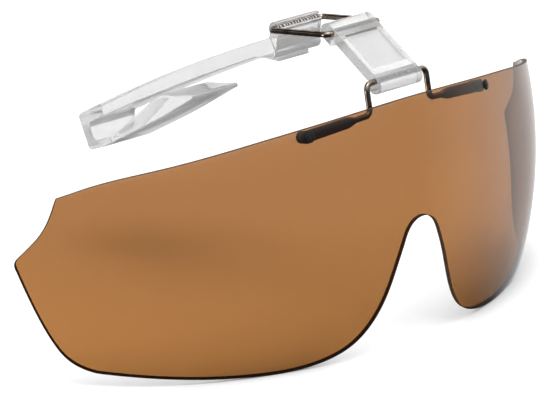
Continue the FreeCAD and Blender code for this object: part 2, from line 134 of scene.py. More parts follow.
def spline(points, spacing):
    """Points evenly spaced along the natural cubic curve through the given ones."""
    points = np.array(points, float)
    knots = np.concatenate([[0], np.cumsum(np.linalg.norm(np.diff(points, axis=0), axis=1))])
    step = np.diff(knots)
    count = len(points)
    system = np.eye(count)
    right = np.zeros_like(points)
    for i in range(1, count - 1):
        system[i, i - 1:i + 2] = step[i - 1], 2 * (step[i - 1] + step[i]), step[i]
        after = (points[i + 1] - points[i]) / step[i]
        before = (points[i] - points[i - 1]) / step[i - 1]
        right[i] = 6 * (after - before)
    bend = np.linalg.solve(system, right)
    places = np.linspace(0, knots[-1], max(2, int(knots[-1] / spacing) + 2))
    out = []
    for place in places:
        i = min(int(np.searchsorted(knots, place, side="right")) - 1, count - 2)
        a = (knots[i + 1] - place) / step[i]
        b = 1 - a
        out.append(a * points[i] + b * points[i + 1]
                   + ((a ** 3 - a) * bend[i] + (b ** 3 - b) * bend[i + 1]) * step[i] ** 2 / 6)
    return [tuple(p) for p in out]


def arc(start, middle, end, spacing):
    """Points on the arc through three points."""
    a, b, c = (np.array(p, float) for p in (start, middle, end))
    normal = np.array([[b[0] - a[0], b[1] - a[1]], [c[0] - a[0], c[1] - a[1]]])
    side = 0.5 * np.array([b @ b - a @ a, c @ c - a @ a])
    centre = np.linalg.solve(normal, side)
    radius = float(np.linalg.norm(a - centre))
    first, half, last = (math.atan2(*(p - centre)[::-1]) for p in (a, b, c))
    turn = (last - first) % (2 * math.pi)
    if (half - first) % (2 * math.pi) > turn:
        turn -= 2 * math.pi
    count = max(3, int(abs(turn) * radius / spacing) + 2)
    return [tuple(centre + radius * np.array([math.cos(first + turn * t), math.sin(first + turn * t)]))
            for t in np.linspace(0, 1, count)]


def outline(start, *steps, spacing=0.35):
    """A closed outline.  A step is an end point, or (middle, end) of an arc, or a list for a curve."""
    points = [start]
    for step in steps:
        if isinstance(step, list):
            points += spline([points[-1]] + step, spacing)[1:]
        elif isinstance(step[0], tuple):
            points += arc(points[-1], step[0], step[1], spacing)[1:]
        else:
            points.append(step)
    least = 0.02
    kept = [points[0]]
    for point in points[1:]:
        if math.dist(point, kept[-1]) > least:
            kept.append(point)
    if math.dist(kept[0], kept[-1]) < least:
        kept.pop()
    area = sum(p[0] * q[1] - q[0] * p[1] for p, q in zip(kept, kept[1:] + kept[:1]))
    return kept if area > 0 else kept[::-1]


def inset(points, amounts):
    """The outline, each point drawn in by its own amount."""
    out = []
    count = len(points)
    for i, ((y, z), amount) in enumerate(zip(points, amounts)):
        before = np.array(points[i - 1])
        here = np.array([y, z])
        after = np.array(points[(i + 1) % count])
        one = (here - before) / np.linalg.norm(here - before)
        two = (after - here) / np.linalg.norm(after - here)
        inward = np.array([-one[1] - two[1], one[0] + two[0]])
        inward /= np.linalg.norm(inward)
        lean = max(0.35, float(inward @ np.array([-one[1], one[0]])))
        out.append(tuple(here + inward * amount / lean))
    return out


# ------------------------------------------------------------------------------------------ meshes

def make(name, verts, faces, place, kinds=None):
    """A mesh object from millimetre points, with outward normals."""
    mesh = bpy.data.meshes.new(name)
    mesh.from_pydata([tuple((place @ Vector(v)) * MM) for v in verts], [], faces)
    if kinds:
        mesh.polygons.foreach_set("material_index", kinds)
    work = bmesh.new()
    work.from_mesh(mesh)
    bmesh.ops.remove_doubles(work, verts=work.verts, dist=1e-7)
    bmesh.ops.recalc_face_normals(work, faces=work.faces)
    work.to_mesh(mesh)
    work.free()
    piece = bpy.data.objects.new(name, mesh)
    bpy.context.scene.collection.objects.link(piece)
    return piece


def loft(name, rings, place, closed=False, kinds=None):
    """Skins equal rings of points, with flat ends unless the row of rings closes on itself."""
    size = len(rings[0])
    verts = [v for ring in rings for v in ring]
    faces = []
    marks = []
    count = len(rings)
    for i in range(count if closed else count - 1):
        here = i * size
        there = (i + 1) % count * size
        for j in range(size):
            k = (j + 1) % size
            faces.append((here + j, here + k, there + k, there + j))
            marks.append(kinds[j] if kinds else 0)
    if not closed:
        faces += [tuple(range(size)), tuple(range((count - 1) * size, count * size))]
        marks += [kinds[0] if kinds else 0] * 2
    return make(name, verts, faces, place, marks)


def bar(name, points, half, soft, place):
    """A prism across X, with its rims rounded by soft, a radius or a function of the place."""
    radii = [soft(y, z) if callable(soft) else soft for y, z in points]
    rings = []
    turns = [math.radians(a) for a in (0, 15, 30, 45, 60, 75, 90)]
    for side in (-1, 1):
        for turn in (turns if side < 0 else turns[::-1]):
            drawn = inset(points, [radius * (1 - math.sin(turn)) + 1e-4 for radius in radii])
            rings.append([(side * (half - radius * (1 - math.cos(turn))), y, z)
                          for radius, (y, z) in zip(radii, drawn)])
    return loft(name, rings, place)


def combine(piece, other, operation):
    """Adds other to piece, or cuts it away."""
    change = piece.modifiers.new("combine", "BOOLEAN")
    change.object = other
    change.operation = operation
    change.solver = "EXACT"
    settle(piece)
    bpy.data.objects.remove(other)


def settle(piece):
    """Applies what modifiers a piece has."""
    bpy.context.view_layer.update()
    shape = piece.evaluated_get(bpy.context.evaluated_depsgraph_get())
    mesh = bpy.data.meshes.new_from_object(shape)
    piece.modifiers.clear()
    piece.data = mesh


def finish_piece(piece, body, materials, nodes, sharp=38.0):
    """Smooth shading with crisp creases, materials and body, and hides the nodes it stands for."""
    piece.data.shade_smooth()
    piece.data.set_sharp_from_angle(angle=math.radians(sharp))
    kinds = [face.material_index for face in piece.data.polygons]
    piece.data.materials.clear()
    for material in materials:
        piece.data.materials.append(material)
    piece.data.polygons.foreach_set("material_index", kinds)
    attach(piece, body)
    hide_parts(*nodes)
    return piece


# --------------------------------------------------------------------------------------- materials

class Paint:
    """The node tree of a material or of the world, built a node at a time.

    An input is given by its name, with _ for a space, or by its number after an i."""

    def __init__(self, owner):
        owner.use_nodes = True
        self.owner = owner
        self.tree = owner.node_tree
        self.tree.nodes.clear()

    def node(self, kind, settings=None, **inputs):
        node = self.tree.nodes.new("ShaderNode" + kind)
        for key, value in (settings or {}).items():
            setattr(node, key, value)
        for key, value in inputs.items():
            socket = node.inputs[int(key[1:])] if key[0] == "i" and key[1:].isdigit() else (
                node.inputs[key.replace("_", " ")])
            if isinstance(value, bpy.types.NodeSocket):
                self.tree.links.new(value, socket)
            else:
                socket.default_value = value
        return node

    def place(self):
        return self.node("TexCoord").outputs["Object"]

    def noise(self, scale, detail=3.0, where=None):
        """Noise of so many features a metre, between 0 and 1."""
        where = where or self.place()
        return self.node("TexNoise", Vector=where, Scale=scale, Detail=detail).outputs["Fac"]

    def ramp(self, value, low, high, a=0.0, b=1.0):
        """Takes low..high to a..b, and holds it there outside."""
        return self.node("MapRange", Value=value, From_Min=low, From_Max=high, To_Min=a,
                         To_Max=b).outputs[0]

    def blend(self, factor, a, b):
        mix = self.tree.nodes.new("ShaderNodeMix")
        mix.data_type = "RGBA"
        for socket, value in ((mix.inputs[0], factor), (mix.inputs[6], a), (mix.inputs[7], b)):
            if isinstance(value, bpy.types.NodeSocket):
                self.tree.links.new(value, socket)
            else:
                socket.default_value = value
        return mix.outputs[2]

    def bump(self, height, strength, distance):
        return self.node("Bump", Height=height, Strength=strength, Distance=distance).outputs[0]

    def combine(self, operation, one, two, kind="Math"):
        return self.node(kind, {"operation": operation}, i0=one, i1=two)

    def end(self, shader, kind="OutputMaterial"):
        self.node(kind, i0=shader)
        return self.owner


def material(name):
    """A new material's empty node tree."""
    return Paint(bpy.data.materials.new(name))


def grey(value):
    return (value, value, value, 1.0)


def moulding(name, frost, depth=1.0, level=1.0):
    """Clear moulded plastic with a slight haze; frost is how rough its face is, depth how much of the
    light it lets through, and level how light its tint is; a depth below 1 is painted shade and a
    level above 1 painted light."""
    p = material(name)
    cloud = p.noise(260.0, 2.0)
    grain = p.noise(5200.0, 3.0)
    # the tint darkens where the face is seen edge-on, partly for the longer way through the plastic and
    # partly as painted shade for the dark lines along the moulding's rims
    rim = p.node("LayerWeight", Blend=0.38).outputs["Facing"]
    tint = p.blend(p.ramp(cloud, 0.35, 0.7), grey(0.847 * level), grey(0.788 * level))
    tint = p.blend(p.ramp(rim, 0.35, 0.95, 0.0, 0.7), tint, grey(0.56 * level ** 2))
    # painted shade: a depth below 1 blends the tint towards near black
    tint = p.blend(depth, (0.05, 0.05, 0.05, 1), tint)
    rough = p.ramp(cloud, 0.3, 0.7, frost, frost + 0.07)
    relief = p.bump(grain, 0.25 if frost > 0.3 else 0.06, 0.00006)
    glass = p.node("BsdfPrincipled", Base_Color=tint, Roughness=rough, IOR=1.49,
                   Transmission_Weight=1.0, Normal=relief).outputs[0]
    dull = p.blend(0.62, tint, grey(0.52 * level ** 3))
    haze = p.node("BsdfPrincipled", Base_Color=dull, Roughness=0.35, IOR=1.49,
                  Normal=relief).outputs[0]
    through = p.node("BsdfTranslucent", Color=dull, Normal=relief).outputs[0]
    milk = p.node("MixShader", i0=0.5, i1=haze, i2=through).outputs[0]
    share = 0.5 if frost > 0.3 else 0.24
    return p.end(p.node("MixShader", i0=share, i1=glass, i2=milk).outputs[0])


def plated_wire():
    """Plated wire, with fine drawing marks and a brown tarnish in patches."""
    p = material("plated_wire")
    marks = p.noise(3800.0, 3.0)
    tarnish = p.noise(420.0, 3.0)
    colour = p.blend(p.ramp(tarnish, 0.42, 0.7), (0.34, 0.29, 0.245, 1), (0.14, 0.102, 0.076, 1))
    rough = p.ramp(tarnish, 0.3, 0.75, 0.06, 0.13)
    relief = p.bump(marks, 0.10, 0.00003)
    return p.end(p.node("BsdfPrincipled", Base_Color=colour, Metallic=1.0, Roughness=rough,
                        Specular_Tint=grey(0.45), Normal=relief).outputs[0])


def knurled_wire_painted_glints():
    """The knurled bars: painted glints on the knurl's ridges and painted shade between them, in stripes
    across X at its pitch.
    """
    p = material("knurled_wire_painted_glints")
    where = p.place()
    across = p.node("SeparateXYZ", Vector=where).outputs[0]
    stray = p.ramp(p.noise(700.0, 2.0, where), 0.0, 1.0, 0.0, 9.0)
    phase = p.node("Math", {"operation": "MULTIPLY_ADD"}, i0=across,
                   i1=2 * math.pi / (KNURL_PITCH * MM), i2=stray).outputs[0]
    # painted light and shade: bright where the stripe falls on a ridge, near black between
    painted_glint = p.ramp(p.node("Math", {"operation": "SINE"}, i0=phase).outputs[0], -0.5, 0.7)
    colour = p.blend(painted_glint, (0.045, 0.038, 0.033, 1), (0.80, 0.77, 0.73, 1))
    return p.end(p.node("BsdfPrincipled", Base_Color=colour, Metallic=1.0,
                        Roughness=p.ramp(painted_glint, 0.0, 1.0, 0.35, 0.16)).outputs[0])


def lens_tint():
    """Amber-brown sheet.  Each of its two faces lets the square root of the sheet's tint through."""
    p = material("lens_tint")
    where = p.place()
    height = p.node("SeparateXYZ", Vector=where).outputs[2]
    cloud = p.noise(90.0, 2.0, where)
    # painted light: the amber is richer low down and duller and darker towards the top, standing in for
    # the sheen that greys the upper sheet
    tint = p.blend(p.ramp(height, -0.027, 0.012), (0.622, 0.410, 0.222, 1), (0.560, 0.380, 0.236, 1))
    tint = p.blend(p.ramp(cloud, 0.3, 0.75, 0.0, 0.3), tint, (0.59, 0.392, 0.212, 1))
    # a slanting look has a longer way through the sheet
    slant = p.node("LayerWeight", Blend=0.5).outputs["Facing"]
    tint = p.blend(p.ramp(slant, 0.45, 0.95, 0.0, 0.6), tint, (0.22, 0.13, 0.07, 1))
    relief = p.bump(p.noise(900.0, 2.0, where), 0.02, 0.00002)
    clear = p.node("BsdfTransparent", Color=tint).outputs[0]
    gloss = p.node("BsdfGlossy", Color=(1, 1, 1, 1), Roughness=p.ramp(cloud, 0.3, 0.7, 0.03, 0.06),
                   Normal=relief).outputs[0]
    # the same index from either side, because the rays aren't bent between the two faces
    index = p.ramp(p.node("NewGeometry").outputs["Backfacing"], 0.0, 1.0, 1.5, 1 / 1.5)
    share = p.node("Fresnel", IOR=index, Normal=relief).outputs[0]
    sheet = p.node("MixShader", i0=share, i1=clear, i2=gloss).outputs[0]
    # its shadow is neutral, and full only beside the edge that stands on the floor
    density = p.blend(p.ramp(height, -0.0265, -0.010), grey(0.0), grey(0.66))
    shade = p.node("BsdfTransparent", Color=density).outputs[0]
    path = p.node("LightPath").outputs
    unseen = p.combine("MAXIMUM", path["Is Shadow Ray"], path["Is Diffuse Ray"]).outputs[0]
    return p.end(p.node("MixShader", i0=unseen, i1=sheet, i2=shade).outputs[0])


def lens_rim():
    """The cut edge of the sheet: dark, satin, with fine cutting marks."""
    p = material("lens_cut_edge")
    marks = p.noise(2600.0, 2.0)
    colour = p.blend(p.ramp(marks, 0.3, 0.7), (0.040, 0.021, 0.011, 1), (0.075, 0.040, 0.020, 1))
    return p.end(p.node("BsdfPrincipled", Base_Color=colour, Roughness=0.5, Specular_IOR_Level=0.08,
                        Normal=p.bump(marks, 0.3, 0.00005)).outputs[0])


def black_rivet():
    """Black lacquer, a little uneven."""
    p = material("black_rivet")
    marks = p.noise(3000.0, 2.0)
    colour = p.blend(p.ramp(marks, 0.35, 0.7), (0.006, 0.006, 0.006, 1), (0.02, 0.019, 0.018, 1))
    return p.end(p.node("BsdfPrincipled", Base_Color=colour, Specular_IOR_Level=0.12,
                        Roughness=p.ramp(marks, 0.3, 0.7, 0.18, 0.28),
                        Normal=p.bump(marks, 0.12, 0.00004)).outputs[0])


def dark_spacer():
    """Dark rubbery plastic with a fine grain."""
    p = material("dark_spacer")
    grain = p.noise(4200.0, 3.0)
    colour = p.blend(p.ramp(grain, 0.3, 0.7), (0.018, 0.017, 0.016, 1), (0.045, 0.042, 0.04, 1))
    return p.end(p.node("BsdfPrincipled", Base_Color=colour,
                        Roughness=p.ramp(grain, 0.3, 0.7, 0.35, 0.6),
                        Normal=p.bump(grain, 0.3, 0.00005)).outputs[0])


clear = moulding("clear_moulding", frost=0.03)
frosted = moulding("frosted_window", frost=0.42)
# painted shade: a darker tint for the inside corner of the slot at the strap's closed end
shaded = moulding("slot_corner_shade", frost=0.10, depth=0.25)
# painted shade: a darker tint that draws dark lines round the barrels' bores and the window's side walls
bore_and_wall_shade = moulding("bore_and_window_wall_shade", frost=0.05, depth=0.55)
# painted light: the tongue is one moulding with the strap, given a lighter tint for the bright bands it
# shows
pale_painted_light = moulding("tongue_painted_light", frost=0.03, level=1.09)
wire = plated_wire()
knurled = knurled_wire_painted_glints()
tinted = lens_tint()
cut_edge = lens_rim()
black = black_rivet()
dark = dark_spacer()


# --------------------------------------------------------------------------------------- brim clip

def cutter(points, place):
    """A prism across X that reaches past both sides of a moulding."""
    return loft("cutter", [[(x, y, z) for y, z in points] for x in (-CUTTER_HALF, CUTTER_HALF)], place)


def cut_bore(piece, centre, place):
    """Cuts the round seat of a wire's bar."""
    points = [(centre[0] + BORE * math.cos(a), centre[1] + BORE * math.sin(a))
              for a in all_round(40)]
    combine(piece, cutter(points, place), "DIFFERENCE")


def cut_mouth(piece, centre, opening, place):
    """Cuts the flared gap of a snap barrel, which opens towards the angle given."""
    gap = 0.5
    flare = 0.85
    reach = 4.7
    along = polar(1, opening)
    across = polar(1, opening + 90)
    shape = [(0, -gap), (reach / 3, -gap), (reach, -flare), (reach, flare), (reach / 3, gap), (0, gap)]
    points = [(centre[0] + along.y * a + across.y * b, centre[1] + along.z * a + across.z * b)
              for a, b in shape]
    combine(piece, cutter(points, place), "DIFFERENCE")


def build_clip():
    """The strap and its spring tongue are one profile, and the foot and the barrel are added to it."""
    back = 2.45
    front, axis = HINGE_ONE
    top = 4.85
    middle = (back + front) / 2
    crown = top + 1.05
    floor = -2.0
    under = floor - 1.45
    tip = -32.5
    strap = outline(
        (back - 0.9, top + 0.05),
        ((middle, crown), (front + 1.5, top + 0.05)),
        (front + 1.3, 1.9),
        ((front + 2.0, 1.0), (front + 3.2, 0.95)),
        (front + 7.5, top + 0.45 - 2.95),
        ((middle, crown - 3.0), (-1.0, 2.45)),
        ((-0.3, 2.2), (0.0, 1.45)),
        (0.0, floor + 1.4),
        ((-0.75, floor + 0.25), (-2.2, floor)),
        [(-6.0, floor + 0.15), (-8.7, floor + 0.7), (-14.6, floor + 2.35), (-18.2, 1.35),
         (-21.3, 2.05), (-24.0, 2.35), (-27.0, 1.55), (-29.8, 0.7), (tip, 0.0)],
        ((tip - 0.35, -0.55), (tip + 0.35, -0.95)),
        [(-24.3, -1.85), (-16.8, -2.6), (-9.2, -3.1), (-2.4, under - 0.05)],
        (back - 1.3, under + 0.35),
        ((back - 0.2, under + 0.65), (back + 0.05, under + 1.5)),
        (back, top - 1.0),
        ((back - 0.2, top - 0.3), (back - 0.9, top + 0.05)))

    def softness(y, z):
        """The tongue's upper rims are well rounded, the rest of the moulding only a little."""
        slight = 0.28
        start = -32.0
        end = -12.0
        if start < y < end and -0.3 < z < 2.5:
            return slight + 0.5 * min(1.0, (y - start) / 4, (end - y) / 4)
        return slight

    piece = bar("clip_moulding", strap, STRAP_HALF, softness, clip_frame)
    foot = bar("foot", outline((front + 7.0, 2.6), (front + 7.3, 1.75), (front + 3.7, 0.0),
                               (front + 3.1, 1.6)), 4.5, 0.12, clip_frame)
    combine(piece, foot, "UNION")
    barrel = 1.45
    neck = outline((front - barrel, axis), (front + 1.2, 2.2), (front + 4.5, 3.4),
                   (front + 3.3, top + 0.1),
                   ((front + 1.9, top + 0.5), (front + barrel, axis)),
                   ((front, axis + barrel), (front - barrel, axis)))
    combine(piece, bar("neck", neck, 6.4, 0.2, clip_frame), "UNION")
    cut_bore(piece, HINGE_ONE, clip_frame)
    cut_mouth(piece, HINGE_ONE, 165.0, clip_frame)
    into_clip = clip_frame.inverted()
    for face in piece.data.polygons:
        place = into_clip @ (face.center / MM)
        # the slot's inside corner takes the painted shade
        in_corner = -1.5 < place.y < 0.05 and 1.2 < place.z < 2.52 and abs(place.x) < 6.6
        # the bore walls take painted shade
        in_bore = math.hypot(place.y - front, place.z - axis) < BORE + NEAR
        # the tongue takes the lighter tint, which is painted light
        on_tongue = (abs(face.normal.x) < 0.9 and -34.0 < place.y < -2.0
                     and place.z < min(2.6, 0.5 - 0.2 * (place.y + 2.0)))
        face.material_index = 1 if in_corner else 2 if in_bore else 3 if on_tongue else 0
    return finish_piece(piece, "clip", [clear, shaded, bore_and_wall_shade, pale_painted_light], ["brim_clip"])


# -------------------------------------------------------------------------------------------- link

def build_link():
    """The plate, with its hook at the high end of Y, its snap barrel at Y 0 and its sunk window."""
    top = 1.0
    under = -1.25
    out = 0.35
    drop = 0.75
    radius = 1.8
    nose_radius = 1.75
    nose = LINK_REACH + 3.0 - nose_radius
    middle = top - nose_radius
    lip = LINK_REACH - 1.3
    back = math.sqrt(radius ** 2 - (under + drop) ** 2)
    profile = outline(
        (-out, top), (nose, top),
        ((nose + nose_radius, middle), (nose, middle - nose_radius)),
        (lip, middle - nose_radius), (lip, under), (back - out, under),
        ((-out - radius * math.cos(math.radians(50)), -drop - radius * math.sin(math.radians(50))),
         (-out - radius, -drop)),
        ((-out - radius * math.cos(math.radians(45)), -drop + radius * math.sin(math.radians(45))),
         (-out, top + 0.05)))
    piece = bar("link_moulding", profile, LINK_HALF, 0.22, link_frame)
    cut_bore(piece, (0, 0), link_frame)
    cut_bore(piece, (LINK_REACH, 0), link_frame)
    cut_mouth(piece, (0, 0), -52.0, link_frame)
    cut_mouth(piece, (LINK_REACH, 0), -128.0, link_frame)
    half = 4.75
    start = 2.55
    end = start + 9.3
    depth = 0.6
    slant = 0.12
    rings = [[(x * (half + s), start - s if low else end + s, z)
              for x, low in ((-1, True), (1, True), (1, False), (-1, False))]
             for s, z in ((-slant, top - depth), (0.0, top - 0.1), (slant, top + 0.3))]
    combine(piece, loft("window", rings, link_frame), "DIFFERENCE")
    floor_level = top - depth
    into_link = link_frame.inverted()
    for face in piece.data.polygons:
        place = into_link @ (face.center / MM)
        in_bore = min(math.hypot(place.y - y, place.z) for y in (0.0, LINK_REACH)) < BORE + NEAR
        past = max(abs(place.x) - half, start - place.y, place.y - end)
        on_floor = abs(place.z - floor_level) < 0.01 and past < 0
        on_wall = floor_level + 0.02 < place.z < top - 0.02 and abs(past) < 0.2
        # the window floor is frosted; the bore walls and the window's side walls take painted shade
        face.material_index = 1 if on_floor else 2 if in_bore or on_wall else 0
    return finish_piece(piece, "link", [clear, frosted, bore_and_wall_shade], ["link_arm"])


# ------------------------------------------------------------------------------------------- wires

def rounded_path(corners, bend, closed, spacing):
    """Points and tangents along straight runs joined by arcs."""
    count = len(corners)
    # where each corner's arc starts and ends, with its headings and its turn
    cuts = []
    for i in range(count):
        if not closed and i in (0, count - 1):
            cuts.append((corners[i], corners[i], None))
            continue
        here = corners[i]
        one = (here - corners[i - 1]).normalized()
        two = (corners[(i + 1) % count] - here).normalized()
        turn = one.angle(two)
        cut = bend * math.tan(turn / 2)
        cuts.append((here - one * cut, here + two * cut, (one, two, turn)))
    places = []
    for i in range(count if closed else count - 1):
        start = cuts[i][1]
        stop, _, corner = cuts[(i + 1) % count]
        heading = (stop - start).normalized()
        steps = max(1, round((stop - start).length / spacing))
        places += [(start.lerp(stop, k / steps), heading) for k in range(steps)]
        if corner:
            one, two, turn = corner
            side = (two - one * one.dot(two)).normalized()
            centre = stop + side * bend
            steps = max(4, round(turn / math.radians(11)))
            for k in range(steps):
                a = turn * k / steps
                places.append((centre - side * bend * math.cos(a) + one * bend * math.sin(a),
                               one * math.cos(a) + side * math.sin(a)))
    if not closed:
        places.append((corners[-1], (corners[-1] - corners[-2]).normalized()))
    return places


def knurl(x, angle):
    """Height of the diamond knurling on a bar, none at its ends."""
    run_out = 0.3
    proud = 0.35
    reach = min(1.0, max(0.0, (KNURL_HALF - abs(x)) / run_out))
    turn = KNURL_STARTS * angle
    ridges = math.cos(turn + KNURL_TWIST * x) * math.cos(turn - KNURL_TWIST * x)
    return KNURL_RELIEF * reach * (ridges * 0.5 - 0.5 + proud)


def mark_bars(piece, place, rows):
    """Gives the knurled bars, which lie across X at the given Y, the second material."""
    back = place.inverted()
    for face in piece.data.polygons:
        at = back @ (face.center / MM)
        from_axis = min(math.hypot(at.y - row, at.z) for row in rows)
        face.material_index = 1 if abs(at.x) < KNURL_HALF and from_axis < WIRE * 1.1 else 0


def build_front_bail():
    """A closed loop of wire.  Its two bars across X are knurled, and are the hinge pins."""
    corners = [Vector((BAIL_HALF, 0, 0)), Vector((BAIL_HALF, -BAIL_REACH, 0)),
               Vector((-BAIL_HALF, -BAIL_REACH, 0)), Vector((-BAIL_HALF, 0, 0))]
    rings = []
    up = Vector((0, 0, 1))
    for point, heading in rounded_path(corners, BAIL_BEND, True, RING_STEP):
        across = heading.cross(up)
        on_bar = abs(heading.x) > 0.999
        ring = []
        for j in range(WIRE_SIDES):
            angle = 2 * math.pi * j / WIRE_SIDES
            radius = WIRE + (knurl(point.x, angle) if on_bar else 0.0)
            ring.append(point + (across * math.cos(angle) + up * math.sin(angle)) * radius)
        rings.append(ring)
    piece = loft("front_bail_wire", rings, bail_frame, closed=True)
    mark_bars(piece, bail_frame, (0.0, -BAIL_REACH))
    return finish_piece(piece, "front_bail", [wire, knurled], ["front_bail"], sharp=75.0)


# -------------------------------------------------------------------------------------------- lens

def lens_normal(azimuth, elevation):
    """Straight out of the sheet, at angles from the front and up."""
    a = math.radians(azimuth)
    e = math.radians(elevation)
    return Vector((math.cos(e) * math.sin(a), -math.cos(e) * math.cos(a), math.sin(e)))


def lens_point(azimuth, elevation, depth=0.0):
    """A point of the sheet in the lens's own frame, depth under its front face."""
    a = math.radians(azimuth)
    e = math.radians(elevation)
    hub = Vector((0, FRONT_RADIUS, 0))
    radius = FRONT_RADIUS
    if abs(azimuth) > SIDE_FROM:
        turn = math.radians(math.copysign(SIDE_FROM, azimuth))
        shift = FRONT_RADIUS - SIDE_RADIUS
        hub += Vector((shift * math.sin(turn), -shift * math.cos(turn), 0))
        radius = SIDE_RADIUS
    reach = radius - DROP_RADIUS + (DROP_RADIUS - depth) * math.cos(e)
    return hub + Vector((reach * math.sin(a), -reach * math.cos(a), (DROP_RADIUS - depth) * math.sin(e)))


# the right half of the outline in the lens's own frame: (x, z) along the upper and lower edges, and
# (y, z) down the notched temple end
TOP_EDGE = [(21.4, 35.15), (41.4, 31.65), (53.6, 28.15), (63.6, 23.75), (67.4, 20.95)]
LOW_EDGE = [(60.2, -13.95), (50.0, -14.4), (36.3, -14.7), (26.4, -14.15), (21.0, -13.0),
            (16.2, -10.8), (11.5, -5.8), (8.7, -0.2), (7.0, 4.4), (5.3, 8.6), (3.3, 12.0)]
NOSE_TOP = (0.0, 13.3)
NOTCH = [(36.3, 21.6), (36.55, 17.8), (37.5, 13.7), (39.3, 10.4), (40.9, 8.0)]
LOW_END = [(40.9, 5.4), (38.9, 1.7), (36.3, -3.3), (33.3, -8.8), (31.5, -11.3), (28.8, -13.2),
           (25.0, -14.2)]


def standing(point, normal):
    """Frame at a point, with Z along the normal."""
    return Matrix.Translation(point) @ normal.to_track_quat("Z", "Y").to_matrix().to_4x4()


def drill(low, high, place):
    """A round bar along Z of the rivet holes' size."""
    return loft("drill", [[(RIVET_HOLE * math.cos(a), RIVET_HOLE * math.sin(a), z)
                           for a in all_round(32)] for z in (low, high)], place)


def mirrored(points):
    """The same points at -X, in the opposite order."""
    return [(-x, z) for x, z in reversed(points)]


def lens_limits():
    """The sheet's outline as functions: highest and lowest z at x, and furthest back y at z."""
    peak = (0.0, DROP_RADIUS * math.sin(math.radians(TOP_ANGLE)) - TOP_TRIM)
    # both edges go on past the temple end, which cuts them off
    upper = np.array(spline(mirrored(TOP_EDGE) + [peak] + TOP_EDGE, 0.1))
    upper = np.vstack([upper[upper[:, 0] >= 0], [(80.0, 12.0)]])
    lower = np.array(spline(LOW_EDGE + [NOSE_TOP] + mirrored(LOW_EDGE), 0.05))
    lower = lower[lower[:, 0] >= 0][::-1]
    lower = np.vstack([lower, [(80.0, -13.0)]])
    tip = arc(NOTCH[-1], (41.35, TIP_HEIGHT), LOW_END[0], 0.03)
    end = np.array(spline(NOTCH, 0.05) + tip + spline(LOW_END, 0.05))[::-1]
    return (lambda x: np.interp(abs(x), upper[:, 0], upper[:, 1]),
            lambda x: np.interp(abs(x), lower[:, 0], lower[:, 1]),
            lambda z: np.interp(z, end[:, 1], end[:, 0]))


def last_inside(test, start, stop):
    """The place furthest from start towards stop that passes the test, found by halving."""
    for _ in range(30):
        middle = (start + stop) / 2
        if test(middle):
            start = middle
        else:
            stop = middle
    return start


def build_lens():
    """Columns of points between the outline's lower and upper edges, closer where these are steep."""
    highest, lowest, furthest = lens_limits()

    def inside(azimuth, elevation):
        p = lens_point(azimuth, elevation)
        return lowest(p.x) < p.z < highest(p.x) and p.y < furthest(p.z)

    tip = math.degrees(math.asin(TIP_HEIGHT / DROP_RADIUS))
    widest = last_inside(lambda azimuth: inside(azimuth, tip), 60.0, 80.0) - 0.02

    def span(azimuth):
        """Elevations of the lower and upper edge, sought from a height that is always in the sheet."""
        z = np.interp(azimuth, [0, 15, widest], [22.0, 20.0, TIP_HEIGHT])
        middle = math.degrees(math.asin(z / DROP_RADIUS))
        return tuple(last_inside(lambda elevation: inside(azimuth, elevation), middle, beyond)
                     for beyond in (-13.5, 28.0))

    # columns are at most a degree apart, and closer where an edge climbs by more than half a millimetre
    widest_gap = 1.0
    least_gap = 0.012
    climb = 0.5
    columns = {0.0: span(0.0), widest: span(widest)}
    queue = [(0.0, widest)]
    while queue:
        left, right = queue.pop()
        jump = max(abs(columns[left][k] - columns[right][k]) for k in (0, 1))
        jump *= math.radians(1) * DROP_RADIUS
        if right - left > widest_gap or (jump > climb and right - left > least_gap):
            centre = (left + right) / 2
            columns[centre] = span(centre)
            queue += [(left, centre), (centre, right)]
    right_half = sorted(columns)
    azimuths = [-a for a in reversed(right_half[1:])] + right_half
    rows = 34
    soft = math.degrees(0.16 / DROP_RADIUS)
    # across the cut edge from face to face: how far in from it, and how deep in the sheet
    rim = [(0.29, 0.05), (0.0, 0.16), (0.0, 0.5), (0.0, 0.84), (0.29, 0.95)]
    rings = []
    for azimuth in azimuths:
        low, high = columns[abs(azimuth)]
        edge = min(soft, (high - low) / 4)
        span_up = np.linspace(low + edge, high - edge, rows)
        ring = [lens_point(azimuth, e, 0.0) for e in span_up]
        ring += [lens_point(azimuth, high - edge * inward, depth * LENS_THICK) for inward, depth in rim]
        ring += [lens_point(azimuth, e, LENS_THICK) for e in span_up[::-1]]
        ring += [lens_point(azimuth, low + edge * inward, depth * LENS_THICK)
                 for inward, depth in reversed(rim)]
        rings.append(ring)
    count = len(rim)
    kinds = [0] * (rows - 1) + [1] * (count + 1) + [0] * (rows - 1) + [1] * (count + 1)
    piece = loft("lens_sheet", rings, lens_frame, kinds=kinds)
    two_ends = sorted(piece.data.polygons, key=lambda face: len(face.vertices))[-2:]
    for face in two_ends:
        face.material_index = 1
    for side in (-1, 1):
        azimuth = side * RIVET_AZIMUTH
        seat = standing(lens_point(azimuth, RIVET_ELEVATION), lens_normal(azimuth, RIVET_ELEVATION))
        combine(piece, drill(-2.5, 1.5, lens_frame @ seat), "DIFFERENCE")
    return finish_piece(piece, "lens", [tinted, cut_edge], ["lens_shield"], sharp=30.0)


def rivet_place(side):
    """Where a rivet meets the front face, and straight out of the sheet there, in the row frame."""
    azimuth = side * RIVET_AZIMUTH
    normal = lens_frame.to_3x3() @ lens_normal(azimuth, RIVET_ELEVATION)
    return lens_frame @ lens_point(azimuth, RIVET_ELEVATION), normal


def rivet_seat(side):
    """Frame on the front face at a rivet, in the row frame, with Z out of the sheet."""
    return standing(*rivet_place(side))


# --------------------------------------------------------------------------------------- lens bail

